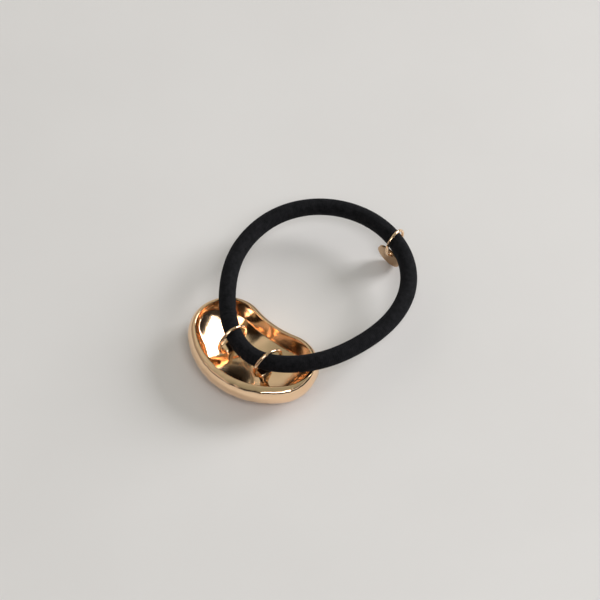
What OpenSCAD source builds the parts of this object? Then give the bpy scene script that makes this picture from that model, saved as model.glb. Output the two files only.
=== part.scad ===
// Metal cuff hair tie: a kidney-shaped cup of polished cast metal with two soldered lugs, two rings that
// hold the hair elastic in the cup, and a small round charm on a ring at the elastic's far end.
// It lies on a table with the cup's open side up. Frame: millimetres, X along the cup, Y from the cup
// to the charm, Z up, the table at z = 0, the origin under the middle of the whole piece.

/* [Cup] */
// distance of each end lobe from the middle of the cup
lobe_x = 8.9; // [7:0.05:11]
// radius of the left end lobe at the inner edge of the lip
lobe_left = 8.1; // [7:0.05:10]
// radius of the right end lobe at the inner edge of the lip
lobe_right = 7.8; // [7:0.05:10]
// radius of the long belly side
belly_r = 20.1; // [18:0.1:40]
// radius of the hollow notch side, which faces the hair loop
notch_r = 27; // [12:0.5:40]
// height of the lip over the table
cup_h = 9.5; // [8:0.1:12]
// distance from the lip's inner edge to the widest part of the wall
lip_w = 1.9; // [1.4:0.05:2.4]
// distance from the lip's inner edge to its crown
lip_crown = 0.35; // [0.2:0.05:0.8]
// how much fuller the wall's foot is under the notch
notch_full = 1.7; // [1:0.1:2.5]
// place of the lobes' middles along Y
cup_y = -19.35; // [-22:0.05:-16]
// how far the cup's foot stands off from under its lip, to the left and to the front alike
drift = 0.5; // [0:0.1:1.5]
// turn of the cup seen from above
cup_turn = 0.5; // [-6:0.5:6]

/* [Cup floor] */
// height of the floor over the table at its lowest, in the middle of the cup
floor_t = 1.5; // [1.2:0.1:2.6]
// distance from the middle to where the floor rises on the left
rise_left = 9.3; // [6:0.1:12]
// distance from the middle to where the floor rises on the right
rise_right = 11.5; // [6:0.1:13]
// steepness of the floor on the left
slope_left = 0.82; // [0:0.02:1]
// steepness of the floor on the right
slope_right = 0.7; // [0:0.02:1]
// lift of the underside at the left end
lift_left = 2.6; // [0:0.1:3.5]
// lift of the underside at the right end
lift_right = 1.3; // [0:0.1:3.5]
// radius of the hollow between the floor and the wall
fillet_r = 2.2; // [1:0.1:2.6]

/* [Lugs] */
// distance of each lug from the middle of the pair
lug_x = 5.9; // [4:0.1:8]
// shift of the pair along the cup
lug_shift = 0.3; // [-1:0.1:1]
// place of the lugs along Y
lug_y = -22.9; // [-25:0.1:-20]
// width of a lug across its ring
lug_w = 3.5; // [2.4:0.1:4]
// length of a lug along its ring
lug_l = 2.8; // [2:0.1:4]
// height of a lug's top over the table
lug_top = 6.9; // [5.5:0.1:7.5]
// diameter of the hole through a lug
lug_bore = 1.8; // [1.4:0.1:2]

/* [Rings] */
// radius of the two cup rings to the middle of their wire
ring_r = 4.25; // [4:0.05:5.5]
// diameter of the wire of the cup rings
ring_wire = 0.9; // [0.6:0.05:1.2]
// direction of the cup rings seen from above, from X
ring_turn = 79; // [60:1:90]
// lean of the cup rings out of the upright
ring_lean = 3; // [0:0.5:8]
// radius of the charm's ring to the middle of its wire
drop_r = 3.6; // [3.2:0.05:4.5]
// diameter of the wire of the charm's ring
drop_wire = 0.75; // [0.6:0.05:1]
// direction of the charm's ring seen from above, from X
drop_turn = 93; // [70:1:110]
// place of the charm's ring across
drop_x = 6.9; // [-5:0.1:15]
// place of the charm's ring along Y
drop_y = 29.2; // [25:0.1:34]

/* [Elastic] */
// thickness of the hair elastic
cord_d = 4.5; // [3:0.1:6]

/* [Charm] */
// diameter of the round charm
charm_d = 7.2; // [6:0.1:9]
// thickness of the charm
charm_t = 0.6; // [0.4:0.05:1]
// distance of the charm's hole from its middle
charm_hole = 2.4; // [2:0.1:3.5]
// lean of the charm in its own plane
charm_lean = 25; // [0:1:40]
// tilt of the charm's face towards the table
charm_tilt = 9; // [0:1:20]
// direction of the charm seen from above, from X
charm_turn = -4; // [-30:1:30]

/* [Hidden] */
GOLD = [0.86, 0.67, 0.4];
BLACK = [0.06, 0.06, 0.07];
// room between pieces that touch
play = 0.1;

// The cup's outline is four arcs that meet without a corner: belly, right lobe, notch, left lobe.
function meet(from_left, from_right) =
    let (x = (from_left * from_left - from_right * from_right) / (4 * lobe_x))
    [x, sqrt(from_left * from_left - pow(x + lobe_x, 2))];
belly_at = meet(belly_r - lobe_left, belly_r - lobe_right);
notch_at = meet(notch_r + lobe_left, notch_r + lobe_right);
belly_left = 360 + atan2(-belly_at[1], -lobe_x - belly_at[0]);
belly_right = 360 + atan2(-belly_at[1], lobe_x - belly_at[0]);
notch_left = atan2(notch_at[1], notch_at[0] + lobe_x);
notch_right = atan2(notch_at[1], notch_at[0] - lobe_x);

// COLUMNS of OUTLINE: middle x, middle y, radius, growth of the radius with the offset,
// first angle, last angle, steps
OUTLINE = [
    [belly_at[0], belly_at[1], belly_r, 1, belly_left, belly_right, 20],
    [lobe_x, 0, lobe_right, 1, belly_right, 360 + notch_right, 24],
    [notch_at[0], notch_at[1], notch_r, -1, 180 + notch_right, 180 + notch_left, 12],
    [-lobe_x, 0, lobe_left, 1, notch_left, belly_left, 24],
];

// COLUMNS of RAYS: middle x, middle y, radius, growth of the radius, cosine, sine. One ray for each
// point of the outline, from the belly's left end round to the right.
RAYS = [
    for (row = OUTLINE, i = [0 : row[6] - 1])
        let (a = row[4] + (row[5] - row[4]) * i / row[6])
        [row[0], row[1], row[2], row[3], cos(a), sin(a)]
];
function on_ray(ray, offset) =
    let (r = ray[2] + ray[3] * offset)
    [ray[0] + r * ray[4], ray[1] + r * ray[5]];

// a smooth step from 0 to 1
function ease(t) = let (s = min(1, max(0, t))) s * s * (3 - 2 * s);

// The floor is bowed across, leans to the belly in the middle, and rises smoothly to both ends.
lean_middle = 0.16;
lean_left = -0.2;
lean_right = -0.05;
middle_w = 7;
floor_bow = 40;
floor_top = 8.2;
function rise(x, start, bend, slope) = slope * (x - start + norm([x - start, bend])) / 2;
function floor_z(x, y) =
    let (
        middle = exp(-pow(x / middle_w, 2)),
        lean = lean_middle * middle + (x < 0 ? lean_left : lean_right) * (1 - middle),
        ends = rise(-x, rise_left, 2.6, slope_left) + rise(x, rise_right, 3, slope_right),
        z = floor_t + ends + lean * y + y * y / (2 * floor_bow)
    )
    (z + floor_top - norm([z - floor_top, 1])) / 2;

// COLUMNS of WALL: offset from the lip's inner edge, height as a share of the cup's height.
// The rows run from the underside up the outside, over the round lip and to its inner edge.
widest = 0.65;
WALL = [
    [-5.2, 0],
    [-4.2, 0.01],
    [-3.0, 0.04],
    [-1.8, 0.09],
    [-0.6, 0.165],
    [0.3, 0.25],
    [0.9, 0.34],
    [1.3, 0.43],
    [lip_w - 0.25, 0.53],
    for (a = [90 : -15 : 0])
        [lip_crown + (lip_w - lip_crown) * sin(a), widest + (1 - widest) * cos(a)],
    [0.18, 0.996],
    [0.05, 0.985],
    [0, 0.968],
];

// The underside is flat in the middle and lifted at both ends.
function under_z(x, share) =
    cup_h * share + (x < 0 ? lift_left : lift_right) * ease((abs(x) - 6) / 9) * max(0, 1 - share / 0.38);

// A point on the outside. Under the notch the wall is fuller, and its foot doesn't stand off there.
function outside(ray, offset, share) =
    let (
        notch = ease((on_ray(ray, offset)[1] - 2) / 4),
        p = on_ray(ray, offset + notch_full * notch * max(0, 1 - share / 0.6)),
        shift = drift * (1 - share) * (1 - notch)
    )
    [p[0] - shift, p[1] - shift, under_z(p[0], share)];

// rows inside the underside and the floor are scaled about this point
HEART = [0, -3];
function inward(p, part) = [HEART[0] + part * (p[0] - HEART[0]), HEART[1] + part * (p[1] - HEART[1])];

lip_edge = cup_h * WALL[len(WALL) - 1][1];

// radius of the hollow at the foot of the inner wall: large, but sharp along the notch
crease_r = 0.25;
function corner_r(ray) =
    let (
        p = on_ray(ray, 0),
        r = crease_r + (fillet_r - crease_r) * (1 - ease((p[1] - 4) / 2.5))
    )
    min(r, lip_edge - 0.5 - floor_z(p[0], p[1]));

// A point on the inner wall, at a share of its drop from the lip to the hollow.
function inside(ray, drop) =
    let (p = on_ray(ray, 0))
    [p[0], p[1], lip_edge + drop * (floor_z(p[0], p[1]) + corner_r(ray) - lip_edge)];

// A point on the hollow between the inner wall and the floor, at an angle of its round.
function hollow(ray, a) =
    let (r = corner_r(ray), p = on_ray(ray, r * cos(a) - r))
    [p[0], p[1], floor_z(p[0], p[1]) + r * (1 - sin(a))];

CUP_ROWS = [
    for (part = [0.5, 0.65, 0.8, 0.92])
        [for (ray = RAYS)
            let (p = outside(ray, WALL[0][0], 0), q = inward(p, part))
            [q[0], q[1], under_z(q[0], 0)]],
    for (w = WALL)
        [for (ray = RAYS) outside(ray, w[0], w[1])],
    for (drop = [0.3, 0.6, 0.85])
        [for (ray = RAYS) inside(ray, drop)],
    for (a = [0 : 15 : 90])
        [for (ray = RAYS) hollow(ray, a)],
    for (part = [0.92, 0.8, 0.66, 0.5, 0.33, 0.16])
        [for (ray = RAYS)
            let (p = hollow(ray, 90), q = inward(p, part))
            [q[0], q[1], floor_z(q[0], q[1])]],
];

// Skin over rows of points that all have the same number of points, closed by a flat at the first row
// and by a fan of triangles to one point at the last.
module skin(rows, tip) {
    n = len(rows[0]);
    last = len(rows) - 1;
    polyhedron(
        points = [for (row = rows) each row, tip],
        faces = concat(
            [[for (j = [0 : n - 1]) j]],
            [for (i = [0 : last - 1], j = [0 : n - 1])
                let (k = (j + 1) % n)
                [i * n + j, (i + 1) * n + j, (i + 1) * n + k, i * n + k]],
            [for (j = [0 : n - 1]) [last * n + (j + 1) % n, last * n + j, (last + 1) * n]]
        ),
        convexity = 8
    );
}

// Each lug is a post with cut top corners. Its hole points along the wire of the ring that hangs in it.
ring_hook = 255;
hole_z = lug_top - 1 - lug_bore / 2;
lug_foot = 1.2;

module lug_post() {
    cut = 0.7;
    h = lug_top - lug_foot;
    rotate([90, 0, 90])
        linear_extrude(lug_l, center = true)
            polygon([
                [-lug_w / 2, 0], [lug_w / 2, 0], [lug_w / 2, h - cut],
                [lug_w / 2 - cut, h], [cut - lug_w / 2, h], [-lug_w / 2, h - cut],
            ]);
}

module at_lug(side) {
    translate([lug_shift + side * lug_x, lug_y, 0])
        rotate([0, 0, ring_turn])
            children();
}

module cup() {
    color(GOLD)
        difference() {
            union() {
                translate([0, cup_y, 0])
                    rotate([0, 0, cup_turn])
                        skin(CUP_ROWS, [HEART[0], HEART[1], floor_z(HEART[0], HEART[1])]);
                for (side = [-1, 1])
                    at_lug(side)
                        translate([0, 0, lug_foot])
                            lug_post();
            }
            for (side = [-1, 1])
                at_lug(side)
                    translate([0, 0, hole_z])
                        rotate([0, 360 - ring_hook, 0])
                            cylinder(h = 5, d = lug_bore, center = true, $fn = 24);
        }
}

// A round ring that stands in the plane of X and Z, with its middle at the origin.
module ring(r, wire) {
    rotate([90, 0, 0])
        rotate_extrude($fn = 48)
            translate([r, 0])
                circle(d = wire, $fn = 16);
}

module cup_ring(side) {
    color(GOLD)
        at_lug(side)
            translate([0, 0, hole_z])
                rotate([ring_lean, 0, 0])
                    translate([-ring_r * cos(ring_hook), 0, -ring_r * sin(ring_hook)])
                        ring(ring_r, ring_wire);
}

module ring_left() {
    cup_ring(-1);
}

module ring_right() {
    cup_ring(1);
}

// The cord's route: the control points of a closed smooth curve, from the far right corner round to the left.
// COLUMNS of ROUTE: x, y, rise over the cord's middle where it lies on the lip
ROUTE = [
    [20.0, 20.5, -1.6],
    [9.8, 29.4, -2.0],
    [-3.5, 31.8, -2.1],
    [-16.1, 26.6, -2.0],
    [-23.1, 14.8, -1.1],
    [-22.9, 1.3, -1.0],
    [-17.2, -10.2, 0.7],
    [-8.1, -20.7, -1.2],
    [3.8, -25.1, -2.3],
    [17.1, -17.3, 0.6],
    [21.7, -5.6, -0.5],
    [23.8, 7.6, -0.9],
];
STEPS = 6;
SIDES = 14;

cord_z = cup_h + cord_d / 2 + play;

// Weights of four neighbouring control points at the share t of a step, and of their slope.
function weights(t) =
    [pow(1 - t, 3), 3 * t * t * t - 6 * t * t + 4, 3 * (t + t * t - t * t * t) + 1, t * t * t] / 6;
function slopes(t) = [-pow(1 - t, 2), 3 * t * t - 4 * t, 1 + 2 * t - 3 * t * t, t * t] / 2;
function blend(w, i) = let (m = len(ROUTE))
    w[0] * ROUTE[(i + m - 1) % m] + w[1] * ROUTE[i] + w[2] * ROUTE[(i + 1) % m] + w[3] * ROUTE[(i + 2) % m];

// One round section of the cord, square to the route seen from above.
function cord_section(i, t) =
    let (p = blend(weights(t), i), s = blend(slopes(t), i), a = atan2(s[1], s[0]) - 90)
    [for (j = [0 : SIDES - 1])
        let (b = 360 * (j + 0.5) / SIDES, r = cord_d / 2)
        [p[0] + r * cos(b) * cos(a), p[1] + r * cos(b) * sin(a), cord_z + p[2] + r * sin(b)]];

module hair_elastic() {
    rows = [for (i = [0 : len(ROUTE) - 1], k = [0 : STEPS - 1]) cord_section(i, k / STEPS)];
    m = len(rows);
    color(BLACK)
        polyhedron(
            points = [for (row = rows) each row],
            faces = [for (i = [0 : m - 1], j = [0 : SIDES - 1])
                let (k = (j + 1) % SIDES, e = (i + 1) % m)
                [i * SIDES + j, i * SIDES + k, e * SIDES + k, e * SIDES + j]],
            convexity = 8
        );
}

charm_edge = 0.15;
charm_low = charm_d / 2 * cos(charm_tilt) + (charm_t / 2 - charm_edge) * sin(charm_tilt);

// The charm's section from its middle to its rim, with both corners of the rim cut.
CHARM_SIDE = [
    [0, -charm_t / 2],
    [charm_d / 2 - charm_edge, -charm_t / 2],
    [charm_d / 2, charm_edge - charm_t / 2],
    [charm_d / 2, charm_t / 2 - charm_edge],
    [charm_d / 2 - charm_edge, charm_t / 2],
    [0, charm_t / 2],
];

// The charm stands on its rim. Its ring goes through its hole and over the cord.
drop_hook = 247;
charm_hole_z = charm_low + charm_hole * cos(charm_lean) * cos(charm_tilt);
drop_z = charm_hole_z - drop_r * sin(drop_hook);

module charm_ring() {
    color(GOLD)
        translate([drop_x, drop_y, drop_z])
            rotate([0, 0, drop_turn])
                ring(drop_r, drop_wire);
}

module charm() {
    hook = drop_r * cos(drop_hook);
    color(GOLD)
        translate([drop_x + hook * cos(drop_turn), drop_y + hook * sin(drop_turn), charm_hole_z])
            rotate([90 + charm_tilt, 0, charm_turn])
                rotate([0, 0, -charm_lean])
                    translate([0, -charm_hole, 0])
                        difference() {
                            rotate_extrude($fn = 64)
                                polygon(CHARM_SIDE);
                            translate([0, charm_hole, 0])
                                cylinder(h = 2, d = 1.7, center = true, $fn = 24);
                        }
}

cup();
ring_left();
ring_right();
hair_elastic();
charm_ring();
charm();
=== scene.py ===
"""A metal cuff hair tie on a pale table: a polished kidney-shaped cup, a black hair elastic that two wire
rings hold in it, and a small round charm. Sizes are in millimetres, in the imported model's own frame."""

import math

import bpy
import numpy as np
from mathutils import Matrix, Vector


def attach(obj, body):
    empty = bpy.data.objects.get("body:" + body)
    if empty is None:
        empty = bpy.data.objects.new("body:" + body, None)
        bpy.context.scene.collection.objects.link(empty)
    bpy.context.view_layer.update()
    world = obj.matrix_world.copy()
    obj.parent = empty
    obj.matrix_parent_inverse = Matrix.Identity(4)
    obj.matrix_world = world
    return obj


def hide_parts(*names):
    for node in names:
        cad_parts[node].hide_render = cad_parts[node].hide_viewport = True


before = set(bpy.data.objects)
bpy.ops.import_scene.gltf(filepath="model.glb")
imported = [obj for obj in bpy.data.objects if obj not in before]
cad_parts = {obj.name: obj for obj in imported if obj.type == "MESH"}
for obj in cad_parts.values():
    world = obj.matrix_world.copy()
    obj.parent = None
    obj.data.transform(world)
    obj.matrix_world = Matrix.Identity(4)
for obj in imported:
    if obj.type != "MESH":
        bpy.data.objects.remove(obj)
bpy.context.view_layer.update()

MM = 0.001

# Camera: the photograph's viewing angle
CAMERA_AZIMUTH = 40
CAMERA_ELEVATION = 53
CAMERA_DISTANCE = 700
CAMERA_TARGET = (-1.95, 1.15, 5)
PIXEL = 0.26
PHOTO_SIDE = 600
SENSOR = 36

# Cup outline at the lip's inner edge: the lobes' middles, the radii of its arcs and the steps along each
LOBE_X = 8.9
LOBE_LEFT = 8.1
LOBE_RIGHT = 7.8
BELLY_R = 20.1
NOTCH_R = 27
BELLY_STEPS = 72
LOBE_STEPS = 76
NOTCH_STEPS = 48

# Cup: height, place, turn, how far its foot drifts towards the left and the near side, and sharp angle
CUP_H = 9.5
CUP_Y = -19.35
CUP_TURN = 0.5
DRIFT = 0.5
SHARP_CUP = 38

# Lip: width, the crown's distance from the inner edge, and the share of the height where it is widest
LIP_W = 1.9
LIP_CROWN = 0.35
WIDEST = 0.65
LIP_INSIDE = [(0.18, 0.996), (0.05, 0.985), (0, 0.968)]
LIP_ANGLES = range(90, -10, -10)

# Broad lip on the belly: the way it faces, its upper wall, and its arcs as end angle and radius
BELLY_WAY = -68
BROAD_WALL = [(1.6, 0.43), (2.2, 0.54)]
BROAD_ARCS = [(30, 2.9), (60, 0.6), (90, 3.5)]

# Uneven hand polish of the broad lip: waves in a full turn and their share of its breadth
POLISH = [(29, 0.07), (47, 0.05), (71, 0.03)]

# The outside below the lip: offset from the lip's inner edge and share of the height, from the underside up
WALL = [
    (-5.2, 0),
    (-4.2, 0.01),
    (-3.0, 0.04),
    (-1.8, 0.09),
    (-0.6, 0.165),
    (0.3, 0.25),
    (0.9, 0.34),
    (1.3, 0.43),
    (1.65, 0.53),
]

# Underside: how far the ends are lifted, from where, over what length and up to what share of the height
LIFT_LEFT = 2.6
LIFT_RIGHT = 1.3
LIFT_FROM = 6
LIFT_OVER = 9
LIFT_TOP = 0.38

# Wall under the notch: how much fuller it is, up to what share of the height, and where in y it sets in
NOTCH_FULL = 1.7
NOTCH_TOP = 0.6
NOTCH_FROM = 2
NOTCH_OVER = 4

# Floor inside: thickness, the ramps at both ends as start, width and slope, leans, bow and rounded top
FLOOR_T = 1.5
RAMP_LEFT = (9.3, 2.6, 0.82)
RAMP_RIGHT = (11.5, 3, 0.7)
TILT_MIDDLE = 0.16
TILT_LEFT = -0.2
TILT_RIGHT = -0.05
MIDDLE_W = 7
CROSS_BOW = 40
FLOOR_TOP = (8.2, 1)

# Corner between floor and wall: radius, the tighter crease under the notch, and the least wall above it
FILLET_R = 2.2
CREASE_R = 0.25
CREASE_FROM = 4
CREASE_OVER = 2.5
LEAST_WALL = 0.5

# Rings of points: shares of the underside from the cup's middle, of the inner wall and of the floor
CUP_MIDDLE = (0, -3)
UNDER_SHARES = (0.5, 0.65, 0.8, 0.92)
WALL_SHARES = (0.2, 0.4, 0.6, 0.8, 0.92)
CORNER_STEPS = 12
FLOOR_SHARES = (0.94, 0.86, 0.77, 0.67, 0.56, 0.44, 0.31, 0.17, 0.02)

# Lugs: posts that narrow to the foot, with cut upper corners and a bore
LUG_X = 5.9
LUG_SHIFT = 0.3
LUG_Y = -22.9
LUG_W = 3.5
LUG_L = 2.8
LUG_TOP = 6.9
LUG_BORE = 1.8
LUG_FOOT = 1.2
LUG_CUT = 0.7
LUG_WAIST = 0.4
LUG_BEVEL = 0.2
OVER_BORE = 1
BORE_SIDES = 40
BORE_REACH = 2.5
HOLE_Z = LUG_TOP - OVER_BORE - LUG_BORE / 2

# Rings in the cup: they turn with the lugs, lean a little and hook into the bores at an angle
RING_R = 4.25
RING_WIRE = 0.9
RING_TURN = 79
RING_LEAN = 3
RING_HOOK = 255
RING_SEAM = 38

# Wire: the gap at a ring's seam, and the rounded ends as distance from the gap and share of the thickness
SEAM_GAP = 0.08
WIRE_ENDS = [(0.0, 0.72), (0.05, 0.9), (0.14, 1.0)]
WIRE_SIDES = 28
RING_STEPS = 150

# Ring of the charm: size, turn, middle, the angles of its hook and its seam
DROP_R = 3.6
DROP_WIRE = 0.75
DROP_TURN = 93
DROP_X = 6.9
DROP_Y = 29.2
DROP_HOOK = 247
DROP_SEAM = 20

# Charm: a disc that stands on its rim, with a hole that is drilled off its middle
CHARM_D = 7.2
CHARM_T = 0.6
CHARM_EDGE = 0.15
CHARM_HOLE = 2.4
CHARM_BORE = 1.7
CHARM_HUB = 0.02
CHARM_LEAN = 25
CHARM_TILT = 9
CHARM_TURN = -4
CHARM_SIDES = 96
DRILL_SIDES = 36
DRILL_REACH = 1
SHARP_CHARM = 40

# Elastic: the control points of its closed route, as x, y and rise over the place where it lies on the lip
CORD_D = 4.5
PLAY = 0.1
CORD_Z = CUP_H + CORD_D / 2 + PLAY
ROUTE = [
    [20.0, 20.5, -1.6],
    [9.8, 29.4, -2.0],
    [-3.5, 31.8, -2.1],
    [-16.1, 26.6, -2.0],
    [-23.1, 14.8, -1.1],
    [-22.9, 1.3, -1.0],
    [-17.2, -10.2, 0.7],
    [-8.1, -20.7, -1.2],
    [3.8, -25.1, -2.3],
    [17.1, -17.3, 0.6],
    [21.7, -5.6, -0.5],
    [23.8, 7.6, -0.9],
]
ROUTE_STEPS = 4800

# Knitted cover: pitch of the courses, rows of wales, depth of the ribs and share of it in the courses
KNIT_PITCH = 0.5
KNIT_WALES = 16
KNIT_DEPTH = 0.06
COURSE_SHARE = 0.6
CHEVRON = 0.5
STEPS_A_COURSE = 4
CORD_SIDES = 64

# Joint of the elastic: its place in control points, the smoother stretch round it and its seam
JOINT_AT = 6.85
JOINT_REACH = 1.5
JOINT_SMOOTH = 0.8
SEAM_DEPTH = 0.16
SEAM_REACH = 0.2

# Surroundings: the colour of the lamps and of a dim sky
LAMP_COLOUR = (1.0, 0.99, 0.985)
SKY_BASE = (0.035, 0.034, 0.032)

# Brighter patches of the sky: direction, cosine at the edge and at the core, and the colour that they add
SKY = [
    ((-0.2, 0.24, 0.95), 0.55, 0.92, (0.275, 0.285, 0.23)),
    ((-0.95, 0.1, 0.3), 0.45, 0.9, (0.28, 0.26, 0.24)),
    ((-0.38, -0.72, 0.57), 0.9, 0.97, (0.48, 0.41, 0.38)),
]

# Floor: half its side in metres and its two close tints
FLOOR_HALF = 2.5
PAPER_LOW = (0.741, 0.73, 0.73)
PAPER_HIGH = (0.765, 0.755, 0.756)


def turn(axis, degrees):
    """A 4x4 rotation about one axis."""
    return Matrix.Rotation(math.radians(degrees), 4, axis)


def move(x, y, z):
    """A 4x4 translation."""
    return Matrix.Translation((x, y, z))


# Camera

def back_of(azimuth, elevation):
    """The unit vector from the object towards a camera. Azimuth 0 looks along +Y."""
    a = math.radians(azimuth)
    e = math.radians(elevation)
    return Vector((math.sin(a) * math.cos(e), -math.cos(a) * math.cos(e), math.sin(e)))


def make_camera():
    """The photograph's camera."""
    back = back_of(CAMERA_AZIMUTH, CAMERA_ELEVATION)
    data = bpy.data.cameras.new("camera")
    data.sensor_width = SENSOR
    data.lens = SENSOR * CAMERA_DISTANCE / (PHOTO_SIDE * PIXEL)
    data.clip_start = 0.05
    data.clip_end = 20
    camera = bpy.data.objects.new("camera", data)
    camera.location = (Vector(CAMERA_TARGET) + back * CAMERA_DISTANCE) * MM
    camera.rotation_euler = (-back).to_track_quat("-Z", "Y").to_euler()
    bpy.context.scene.collection.objects.link(camera)
    bpy.context.scene.camera = camera


# Light and floor

def area_light(name, azimuth, elevation, distance, size, power):
    """A soft lamp that faces the origin, in metres and watts. Azimuth 0 is at +X and 90 at +Y."""
    data = bpy.data.lights.new(name, "AREA")
    data.shape = "RECTANGLE"
    data.size, data.size_y = size
    data.energy = power
    data.color = LAMP_COLOUR
    light = bpy.data.objects.new(name, data)
    a = math.radians(azimuth)
    e = math.radians(elevation)
    towards = Vector((math.cos(a) * math.cos(e), math.sin(a) * math.cos(e), math.sin(e)))
    light.location = towards * distance
    light.rotation_euler = towards.to_track_quat("Z", "Y").to_euler()
    bpy.context.scene.collection.objects.link(light)


def make_world():
    """Dim studio surroundings with soft bright patches: high up, low on the left, and on the front left."""
    world = bpy.data.worlds.new("studio")
    bpy.context.scene.world = world
    world.use_nodes = True
    tree = world.node_tree
    place = tree.nodes.new("ShaderNodeTexCoord")
    background = tree.nodes["Background"]
    total = None
    for direction, edge, core, colour in SKY:
        towards = tree.nodes.new("ShaderNodeVectorMath")
        towards.operation = "DOT_PRODUCT"
        towards.inputs[1].default_value = Vector(direction).normalized()
        tree.links.new(place.outputs["Generated"], towards.inputs[0])
        patch = add_node(tree, "ShaderNodeMapRange", From_Min=edge, From_Max=core)
        patch.interpolation_type = "SMOOTHSTEP"
        tree.links.new(towards.outputs["Value"], patch.inputs["Value"])
        add = tree.nodes.new("ShaderNodeVectorMath")
        add.operation = "MULTIPLY_ADD"
        add.inputs[0].default_value = colour
        add.inputs[2].default_value = SKY_BASE
        tree.links.new(patch.outputs["Result"], add.inputs[1])
        if total is not None:
            tree.links.new(total, add.inputs[2])
        total = add.outputs["Vector"]
    tree.links.new(total, background.inputs["Color"])


def make_floor():
    """A pale paper table, which is no part of the object."""
    side = FLOOR_HALF
    mesh = bpy.data.meshes.new("floor")
    corners = [(-side, -side, 0), (side, -side, 0), (side, side, 0), (-side, side, 0)]
    mesh.from_pydata(corners, [], [(0, 1, 2, 3)])
    floor = bpy.data.objects.new("floor", mesh)
    bpy.context.scene.collection.objects.link(floor)
    material, tree, shader = new_material("floor_paper")
    noise = noise_node(tree, Scale=14.0, Detail=6.0)
    ramp = ramp_node(tree, noise.outputs["Fac"], PAPER_LOW, PAPER_HIGH)
    tree.links.new(ramp.outputs["Color"], shader.inputs["Base Color"])
    shader.inputs["Roughness"].default_value = 0.85
    floor.data.materials.append(material)


# Materials

def new_material(name):
    """A material with its node tree and its shader."""
    material = bpy.data.materials.new(name)
    material.use_nodes = True
    tree = material.node_tree
    return material, tree, tree.nodes["Principled BSDF"]


def add_node(tree, kind, **inputs):
    """A shader node with values for its inputs, whose names have underscores for spaces."""
    node = tree.nodes.new(kind)
    for key, value in inputs.items():
        node.inputs[key.replace("_", " ")].default_value = value
    return node


def noise_node(tree, **inputs):
    """A noise texture that takes the place on the object, in metres."""
    noise = add_node(tree, "ShaderNodeTexNoise", **inputs)
    place = tree.nodes.new("ShaderNodeTexCoord")
    tree.links.new(place.outputs["Object"], noise.inputs["Vector"])
    return noise


def ramp_node(tree, factor, low, high):
    """A ramp between two tints over the middle of a factor's range."""
    ramp = tree.nodes.new("ShaderNodeValToRGB")
    first, second = ramp.color_ramp.elements
    first.position = 0.35
    first.color = (*low, 1)
    second.position = 0.65
    second.color = (*high, 1)
    tree.links.new(factor, ramp.inputs["Fac"])
    return ramp


def range_node(tree, factor, low, high):
    """Maps a factor of 0 to 1 to a range."""
    out = add_node(tree, "ShaderNodeMapRange", To_Min=low, To_Max=high)
    tree.links.new(factor, out.inputs["Value"])
    return out


def bump_node(tree, height, distance, normal=None):
    """Bump of a real height in millimetres."""
    bump = add_node(tree, "ShaderNodeBump", Strength=1.0, Distance=distance * MM)
    tree.links.new(height, bump.inputs["Height"])
    if normal is not None:
        tree.links.new(normal, bump.inputs["Normal"])
    return bump


def gold(name, low, high, rough, ripple, grain):
    """Plated metal: two close tints, a range of roughness, and the heights of a ripple and a fine grain."""
    material, tree, shader = new_material(name)
    shader.inputs["Metallic"].default_value = 1.0
    tint = noise_node(tree, Scale=180.0, Detail=3.0)
    ramp = ramp_node(tree, tint.outputs["Fac"], low, high)
    tree.links.new(ramp.outputs["Color"], shader.inputs["Base Color"])
    wear = noise_node(tree, Scale=700.0, Detail=5.0, Roughness=0.65)
    gloss = range_node(tree, wear.outputs["Fac"], *rough)
    tree.links.new(gloss.outputs["Result"], shader.inputs["Roughness"])
    slow = noise_node(tree, Scale=260.0, Detail=1.0)
    fine = noise_node(tree, Scale=2600.0, Detail=3.0)
    first = bump_node(tree, slow.outputs["Fac"], ripple)
    second = bump_node(tree, fine.outputs["Fac"], grain, normal=first.outputs["Normal"])
    tree.links.new(second.outputs["Normal"], shader.inputs["Normal"])
    return material


def knit_black():
    """Matt black knitted cover, with fibres finer than the mesh's own ribs."""
    material, tree, shader = new_material("knit_black")
    tint = noise_node(tree, Scale=800.0, Detail=5.0, Roughness=0.7)
    ramp = ramp_node(tree, tint.outputs["Fac"], (0.0025, 0.003, 0.0036), (0.0115, 0.0112, 0.0135))
    tree.links.new(ramp.outputs["Color"], shader.inputs["Base Color"])
    shader.inputs["Roughness"].default_value = 0.85
    shader.inputs["Specular IOR Level"].default_value = 0.12
    shader.inputs["Sheen Weight"].default_value = 0.02
    shader.inputs["Sheen Roughness"].default_value = 0.5
    shader.inputs["Sheen Tint"].default_value = (0.75, 0.8, 1.0, 1)
    fibre = noise_node(tree, Scale=9000.0, Detail=4.0, Roughness=0.7)
    bump = bump_node(tree, fibre.outputs["Fac"], 0.03)
    tree.links.new(bump.outputs["Normal"], shader.inputs["Normal"])
    return material


# Meshes

def new_piece(name, points, faces, node, material, place=Matrix.Identity(4)):
    """A smooth piece of the object from points in millimetres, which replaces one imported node."""
    mesh = bpy.data.meshes.new(name)
    mesh.from_pydata([place @ Vector(p) * MM for p in points], [], faces)
    mesh.validate()
    dress(mesh, name, node, material)


def dress(mesh, name, node, material):
    """Makes a mesh in metres one of the object's pieces."""
    mesh.shade_smooth()
    mesh.materials.clear()
    mesh.materials.append(material)
    piece = bpy.data.objects.new(name, mesh)
    bpy.context.scene.collection.objects.link(piece)
    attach(piece, "root")
    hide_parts(node)


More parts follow.
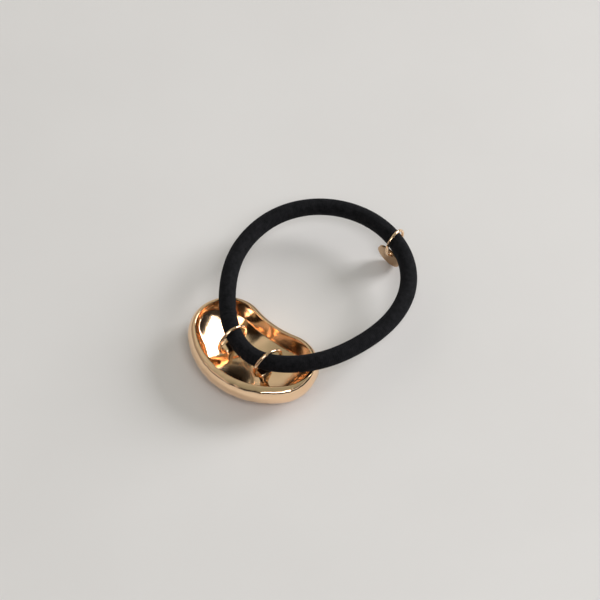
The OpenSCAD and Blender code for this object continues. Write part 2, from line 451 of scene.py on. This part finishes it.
def loft(rows, closed_rows=False):
    """Points and faces between closed rows of equal length, with flat caps unless the rows close too."""
    n = len(rows[0])
    points = [p for row in rows for p in row]
    last = len(rows) if closed_rows else len(rows) - 1
    faces = []
    for i in range(last):
        a = i * n
        b = (i + 1) % len(rows) * n
        faces += [(a + j, a + (j + 1) % n, b + (j + 1) % n, b + j) for j in range(n)]
    if not closed_rows:
        faces.append(tuple(range(n - 1, -1, -1)))
        faces.append(tuple(range((len(rows) - 1) * n, len(rows) * n)))
    return points, faces


def circle(radius, sides, y=0):
    """Points round a circle, as x and y, with its middle at a distance along Y."""
    turns = [math.tau * i / sides for i in range(sides)]
    return [(radius * math.cos(a), y + radius * math.sin(a)) for a in turns]


def drill(name, profile, reach, place):
    """A prism for drilling, as far to both sides of its place as its reach."""
    rows = [[(x, y, z) for x, y in profile] for z in (-reach, reach)]
    return helper(name, *loft(rows), place)


def smooth_rows(table, steps):
    """Points on a smooth curve through the rows of a table, with some steps from each row to the next."""
    rows = np.array(table, float)
    padded = np.vstack([2 * rows[0] - rows[1], rows, 2 * rows[-1] - rows[-2]])
    out = []
    for i in range(1, len(rows)):
        p0, p1, p2, p3 = padded[i - 1:i + 3]
        for k in range(steps):
            t = k / steps
            out.append(0.5 * (2 * p1 + (p2 - p0) * t + (2 * p0 - 5 * p1 + 4 * p2 - p3) * t ** 2
                              + (3 * p1 - p0 - 3 * p2 + p3) * t ** 3))
    out.append(rows[-1])
    return out


# Cup

def meet(from_left, from_right):
    """The middle of an arc that touches both lobes, from its distances to their middles."""
    x = (from_left ** 2 - from_right ** 2) / (4 * LOBE_X)
    return x, math.sqrt(from_left ** 2 - (x + LOBE_X) ** 2)


def degrees_of(x, y):
    """The angle of a direction."""
    return math.degrees(math.atan2(y, x))


def outline_arcs():
    """The cup's outline as rows of middle x, middle y, radius, growth, first angle, last angle and steps."""
    bx, by = meet(BELLY_R - LOBE_LEFT, BELLY_R - LOBE_RIGHT)
    nx, ny = meet(NOTCH_R + LOBE_LEFT, NOTCH_R + LOBE_RIGHT)
    belly_left = 360 + degrees_of(-LOBE_X - bx, -by)
    belly_right = 360 + degrees_of(LOBE_X - bx, -by)
    notch_left = degrees_of(nx + LOBE_X, ny)
    notch_right = degrees_of(nx - LOBE_X, ny)
    return [
        (bx, by, BELLY_R, 1, belly_left, belly_right, BELLY_STEPS),
        (LOBE_X, 0, LOBE_RIGHT, 1, belly_right, 360 + notch_right, LOBE_STEPS),
        (nx, ny, NOTCH_R, -1, 180 + notch_right, 180 + notch_left, NOTCH_STEPS),
        (-LOBE_X, 0, LOBE_LEFT, 1, notch_left, belly_left, LOBE_STEPS),
    ]


def outline_rays():
    """For each point of the outline: its arc's middle x and y, radius and growth, and its direction."""
    rays = []
    for x, y, radius, growth, first, last, steps in outline_arcs():
        for i in range(steps):
            a = math.radians(first + (last - first) * i / steps)
            rays.append((x, y, radius, growth, math.cos(a), math.sin(a)))
    return rays


RAYS = outline_rays()


def outline_point(ray, offset):
    """A point of the outline, moved outwards by an offset from the lip's inner edge."""
    x, y, radius, growth, c, s = ray
    r = radius + growth * offset
    return x + r * c, y + r * s


def ease(t):
    """A smooth step from 0 to 1."""
    t = min(1, max(0, t))
    return t * t * (3 - 2 * t)


def ramp_z(x, start, width, slope):
    """A smooth ramp that leaves the level about the start and rises with the slope."""
    past = x - start
    return slope * (past + math.hypot(past, width)) / 2


def floor_z(x, y):
    """Height of the bowed floor inside: it rises to both ends, and leans to the belly in the middle."""
    middle = math.exp(-(x / MIDDLE_W) ** 2)
    lean = TILT_MIDDLE * middle + (TILT_LEFT if x < 0 else TILT_RIGHT) * (1 - middle)
    z = FLOOR_T + ramp_z(-x, *RAMP_LEFT) + ramp_z(x, *RAMP_RIGHT) + lean * y + y * y / (2 * CROSS_BOW)
    return (z + FLOOR_TOP[0] - math.hypot(z - FLOOR_TOP[0], FLOOR_TOP[1])) / 2


def under_z(x, share):
    """Height on the outside: the underside is lifted at both ends."""
    lift = LIFT_LEFT if x < 0 else LIFT_RIGHT
    lift *= ease((abs(x) - LIFT_FROM) / LIFT_OVER) * max(0, 1 - share / LIFT_TOP)
    return max(0, CUP_H * share + lift)


def outside(ray, offset, share):
    """A point on the outside. Under the notch the wall is fuller, and its foot doesn't stand off there."""
    x, y = outline_point(ray, offset)
    notch = ease((y - NOTCH_FROM) / NOTCH_OVER)
    if notch > 0:
        x, y = outline_point(ray, offset + NOTCH_FULL * notch * max(0, 1 - share / NOTCH_TOP))
    shift = DRIFT * (1 - share) * (1 - notch)
    return x - shift, y - shift, under_z(x, share)


def lip_profile():
    """Rows of offset and share of the height up the outside, over the round lip and to its inner edge."""
    rows = list(WALL)
    for angle in LIP_ANGLES:
        a = math.radians(angle)
        rows.append((LIP_CROWN + (LIP_W - LIP_CROWN) * math.sin(a), WIDEST + (1 - WIDEST) * math.cos(a)))
    return rows + LIP_INSIDE


def broad_lip():
    """The same rows where the lip is broad, on the belly: a flat top, a tight shoulder and a steep wall."""
    rows = WALL[:-2] + BROAD_WALL
    for angle in LIP_ANGLES:
        x, z, low = LIP_CROWN, CUP_H, 0
        for high, radius in BROAD_ARCS:
            a = math.radians(low)
            b = math.radians(min(high, max(low, angle)))
            x += radius * (math.sin(b) - math.sin(a))
            z -= radius * (math.cos(a) - math.cos(b))
            low = high
        rows.append((x, z / CUP_H))
    return rows + LIP_INSIDE


def broad_shares():
    """For each ray, how broad the lip is: about 1 where the belly faces its way, and 0 at the notch."""
    belly = math.radians(BELLY_WAY)
    shares = []
    for *_, growth, c, s in RAYS:
        a = math.atan2(s, c)
        facing = max(0, growth * math.cos(a - belly)) ** 2
        shares.append(facing * (1 + sum(share * math.sin(waves * a) for waves, share in POLISH)))
    return shares


def shrunk(row, share):
    """A ring of points that is drawn in towards the cup's middle."""
    return [[m + share * (q - m) for m, q in zip(CUP_MIDDLE, point)] for point in row]


def corner_radii(top):
    """For each ray, the radius between floor and wall, smaller where the wall is low."""
    radii = []
    for ray in RAYS:
        x, y = outline_point(ray, 0)
        radius = CREASE_R + (FILLET_R - CREASE_R) * (1 - ease((y - CREASE_FROM) / CREASE_OVER))
        radii.append(min(radius, top - LEAST_WALL - floor_z(x, y)))
    return radii


def cup_skin():
    """The cup without its lugs: underside, outside, lip, inner wall, corner and floor."""
    rows = []
    foot = [outside(ray, WALL[0][0], 0) for ray in RAYS]
    for share in UNDER_SHARES:
        rows.append([(x, y, under_z(x, 0)) for x, y in shrunk(foot, share)])
    for thin, wide in zip(smooth_rows(lip_profile(), 2), smooth_rows(broad_lip(), 2)):
        row = [[p + share * (q - p) for p, q in zip(thin, wide)] for share in broad_shares()]
        rows.append([outside(ray, *place) for ray, place in zip(RAYS, row)])
    top = rows[-1][0][2]
    corners = corner_radii(top)
    for drop in WALL_SHARES:
        row = []
        for ray, corner in zip(RAYS, corners):
            x, y = outline_point(ray, 0)
            row.append((x, y, top + drop * (floor_z(x, y) + corner - top)))
        rows.append(row)
    for step in range(CORNER_STEPS + 1):
        a = math.radians(90 * step / CORNER_STEPS)
        row = []
        for ray, corner in zip(RAYS, corners):
            x, y = outline_point(ray, -corner * (1 - math.cos(a)))
            row.append((x, y, floor_z(x, y) + corner * (1 - math.sin(a))))
        rows.append(row)
    edge = rows[-1]
    for share in FLOOR_SHARES:
        rows.append([(x, y, floor_z(x, y)) for x, y in shrunk(edge, share)])
    return loft(rows)


def at_lug(side):
    """The place of the left lug for side -1, and of the right one for side 1."""
    return move(LUG_SHIFT + side * LUG_X, LUG_Y, 0) @ turn("Z", RING_TURN)


def helper(name, points, faces, place):
    """A solid that only takes part in a boolean, in metres."""
    mesh = bpy.data.meshes.new(name)
    mesh.from_pydata([place @ Vector(p) * MM for p in points], [], faces)
    piece = bpy.data.objects.new(name, mesh)
    bpy.context.scene.collection.objects.link(piece)
    return piece


def lug_post(side):
    """A lug without its bore. Both of its widths shrink towards the foot."""
    h = LUG_TOP - LUG_FOOT
    half = LUG_W / 2
    section = [
        (-half, 0), (half, 0), (half, h - LUG_CUT),
        (half - LUG_CUT, h), (LUG_CUT - half, h), (-half, h - LUG_CUT),
    ]
    rows = []
    for end in (-LUG_L / 2, LUG_L / 2):
        sizes = [LUG_WAIST + (1 - LUG_WAIST) * z / (h - LUG_CUT) for _, z in section]
        rows.append([(end * q, y * min(1, q), z) for (y, z), q in zip(section, sizes)])
    post = helper(f"post_{side}", *loft(rows), at_lug(side) @ move(0, 0, LUG_FOOT))
    bevel = post.modifiers.new("edges", "BEVEL")
    bevel.width = LUG_BEVEL * MM
    bevel.segments = 2
    return post


def lug_bore(side):
    """The bore of a lug, along the wire that passes through it."""
    tilt = at_lug(side) @ move(0, 0, HOLE_Z) @ turn("Y", 360 - RING_HOOK)
    return drill(f"bore_{side}", circle(LUG_BORE / 2, BORE_SIDES), BORE_REACH, tilt)


def combine(body, tools):
    """The mesh of a body after its booleans, given as operation and tool. The helpers are removed."""
    for operation, tool in tools:
        boolean = body.modifiers.new("cut", "BOOLEAN")
        boolean.operation = operation
        boolean.object = tool
        boolean.solver = "EXACT"
    graph = bpy.context.evaluated_depsgraph_get()
    mesh = bpy.data.meshes.new_from_object(body.evaluated_get(graph))
    for spare in (body, *[tool for _, tool in tools]):
        bpy.data.objects.remove(spare)
    return mesh


def make_cup(material):
    """The cup, joined with its lugs and bored."""
    skin = helper("cup_skin", *cup_skin(), move(0, CUP_Y, 0) @ turn("Z", CUP_TURN))
    posts = [("UNION", lug_post(side)) for side in (-1, 1)]
    bores = [("DIFFERENCE", lug_bore(side)) for side in (-1, 1)]
    mesh = combine(skin, posts + bores)
    dress(mesh, "cuff_cup", "cup", material)
    mesh.set_sharp_from_angle(angle=math.radians(SHARP_CUP))


# Rings

def wire_ring(radius, wire, seam):
    """A jump ring in the plane of X and Z, cut at the seam's angle, with rounded wire ends."""
    half_gap = math.degrees(SEAM_GAP / 2 / radius)
    rows = []
    arc = [half_gap + (360 - 2 * half_gap) * i / RING_STEPS for i in range(1, RING_STEPS)]
    lead = [(half_gap + math.degrees(d / radius), s) for d, s in WIRE_ENDS]
    trail = [(360 - a, s) for a, s in reversed(lead)]
    inner = [(a, 1.0) for a in arc if lead[-1][0] < a < trail[0][0]]
    for angle, share in lead + inner + trail:
        a = math.radians(seam + angle)
        row = []
        for j in range(WIRE_SIDES):
            b = math.tau * j / WIRE_SIDES
            r = radius + share * wire / 2 * math.cos(b)
            row.append((r * math.cos(a), share * wire / 2 * math.sin(b), r * math.sin(a)))
        rows.append(row)
    return loft(rows)


def cup_ring_place(side):
    """The place of a cup ring, whose wire passes through its lug's bore."""
    hook = math.radians(RING_HOOK)
    middle = move(-RING_R * math.cos(hook), 0, -RING_R * math.sin(hook))
    return at_lug(side) @ move(0, 0, HOLE_Z) @ turn("X", RING_LEAN) @ middle


def make_rings(material):
    """The two rings in the cup and the charm's ring."""
    for side, name in ((-1, "ring_left"), (1, "ring_right")):
        points, faces = wire_ring(RING_R, RING_WIRE, RING_SEAM)
        new_piece(f"jump_{name}", points, faces, name, material, cup_ring_place(side))
    points, faces = wire_ring(DROP_R, DROP_WIRE, DROP_SEAM)
    middle_z = charm_hole_z() - DROP_R * math.sin(math.radians(DROP_HOOK))
    place = move(DROP_X, DROP_Y, middle_z) @ turn("Z", DROP_TURN)
    new_piece("jump_ring_charm", points, faces, "charm_ring", material, place)


# Charm

def charm_hole_z():
    """Height of the charm's hole when its rim stands on the table."""
    tilt = math.radians(CHARM_TILT)
    low = CHARM_D / 2 * math.cos(tilt) + (CHARM_T / 2 - CHARM_EDGE) * math.sin(tilt)
    return low + CHARM_HOLE * math.cos(math.radians(CHARM_LEAN)) * math.cos(tilt)


def charm_place():
    """The charm's place: its hole is where its ring hooks in."""
    reach = DROP_R * math.cos(math.radians(DROP_HOOK))
    way = math.radians(DROP_TURN)
    hole = move(DROP_X + reach * math.cos(way), DROP_Y + reach * math.sin(way), charm_hole_z())
    stance = turn("Z", CHARM_TURN) @ turn("X", 90 + CHARM_TILT) @ turn("Z", -CHARM_LEAN)
    return hole @ stance @ move(0, -CHARM_HOLE, 0)


def make_charm(material):
    """A thin round disc with soft edges and a drilled hole."""
    r = CHARM_D / 2
    t = CHARM_T / 2
    e = CHARM_EDGE
    section = [
        (CHARM_HUB, -t), (r * 0.5, -t), (r - e, -t), (r - 0.3 * e, -t + 0.3 * e), (r, -t + e),
        (r, t - e), (r - 0.3 * e, t - 0.3 * e), (r - e, t), (r * 0.5, t), (CHARM_HUB, t),
    ]
    rows = [[(x, y, z) for x, y in circle(q, CHARM_SIDES)] for q, z in smooth_rows(section, 3)]
    disc = helper("disc", *loft(rows), charm_place())
    hole = drill("hole", circle(CHARM_BORE / 2, DRILL_SIDES, CHARM_HOLE), DRILL_REACH, charm_place())
    mesh = combine(disc, [("DIFFERENCE", hole)])
    dress(mesh, "round_charm", "charm", material)
    mesh.set_sharp_from_angle(angle=math.radians(SHARP_CHARM))


# Elastic

def route_point(s):
    """Place and direction on the closed route, a cubic spline. s counts control points."""
    m = len(ROUTE)
    i = int(math.floor(s))
    t = s - i
    place = (
        (1 - t) ** 3 / 6,
        (3 * t ** 3 - 6 * t ** 2 + 4) / 6,
        (3 * (t + t ** 2 - t ** 3) + 1) / 6,
        t ** 3 / 6,
    )
    slope = (-(1 - t) ** 2 / 2, (3 * t ** 2 - 4 * t) / 2, (1 + 2 * t - 3 * t ** 2) / 2, t ** 2 / 2)
    near = [np.array(ROUTE[(i + k - 1) % m]) for k in range(4)]
    return sum(w * p for w, p in zip(place, near)), sum(w * p for w, p in zip(slope, near))


def route_length():
    """Fine steps of the parameter round the route, and the length up to each of them."""
    fine = np.linspace(0, len(ROUTE), ROUTE_STEPS + 1)
    points = np.array([route_point(s)[0] for s in fine])
    length = np.concatenate([[0], np.cumsum(np.linalg.norm(np.diff(points, axis=0), axis=1))])
    return fine, length


def make_elastic(material):
    """The knitted cover: round courses, bent to chevrons by the wales, and smoother at its joint."""
    fine, length = route_length()
    courses = round(length[-1] / KNIT_PITCH)
    count = courses * STEPS_A_COURSE
    joint = float(np.interp(JOINT_AT, fine, length))
    rows = []
    for i in range(count):
        s = float(np.interp(length[-1] * i / count, length, fine))
        p, d = route_point(s)
        a = math.atan2(d[1], d[0]) - math.pi / 2
        from_joint = length[-1] * i / count - joint
        relief = KNIT_DEPTH * (1 - JOINT_SMOOTH * math.exp(-(from_joint / JOINT_REACH) ** 2))
        seam = SEAM_DEPTH * math.exp(-(from_joint / SEAM_REACH) ** 2)
        row = []
        for j in range(CORD_SIDES):
            wale = (j * KNIT_WALES / CORD_SIDES) % 1
            chevron = CHEVRON * abs(wale - 0.5)
            rib = math.cos(math.tau * (i / STEPS_A_COURSE + chevron))
            groove = -0.5 * math.cos(math.tau * wale)
            r = CORD_D / 2 - KNIT_DEPTH - seam + relief * (COURSE_SHARE * rib + (1 - COURSE_SHARE) * groove)
            b = math.tau * (j + 0.5) / CORD_SIDES
            side = r * math.cos(b)
            z = CORD_Z + p[2] + r * math.sin(b)
            row.append((p[0] + side * math.cos(a), p[1] + side * math.sin(a), z))
        rows.append(row)
    points, faces = loft(rows, closed_rows=True)
    new_piece("hair_elastic_cover", points, faces, "hair_elastic", material)


bpy.context.scene.view_settings.view_transform = "Standard"
make_camera()
make_world()
area_light("window", 64, 26, 1.6, (0.76, 0.86), 22.5)
area_light("front", -36, 56, 2.0, (1.0, 0.7), 13.5)
area_light("strip", 8, 42, 2.0, (2.0, 0.16), 1.6)
make_floor()

cup_gold = gold("cup_gold", (0.98, 0.68, 0.43), (1.0, 0.71, 0.46), (0.1, 0.18), 0.08, 0.003)
wire_gold = gold("wire_gold", (0.94, 0.66, 0.42), (0.97, 0.70, 0.46), (0.06, 0.14), 0.02, 0.002)
# The charm's gold is darkened to about half of the cup's gold: painted shade on the charm's face
charm_gold_painted_shade = gold("charm_gold_painted_shade", (0.49, 0.31, 0.16), (0.56, 0.36, 0.19), (0.24, 0.36), 0.03, 0.004)

make_cup(cup_gold)
make_rings(wire_gold)
make_charm(charm_gold_painted_shade)
make_elastic(knit_black())
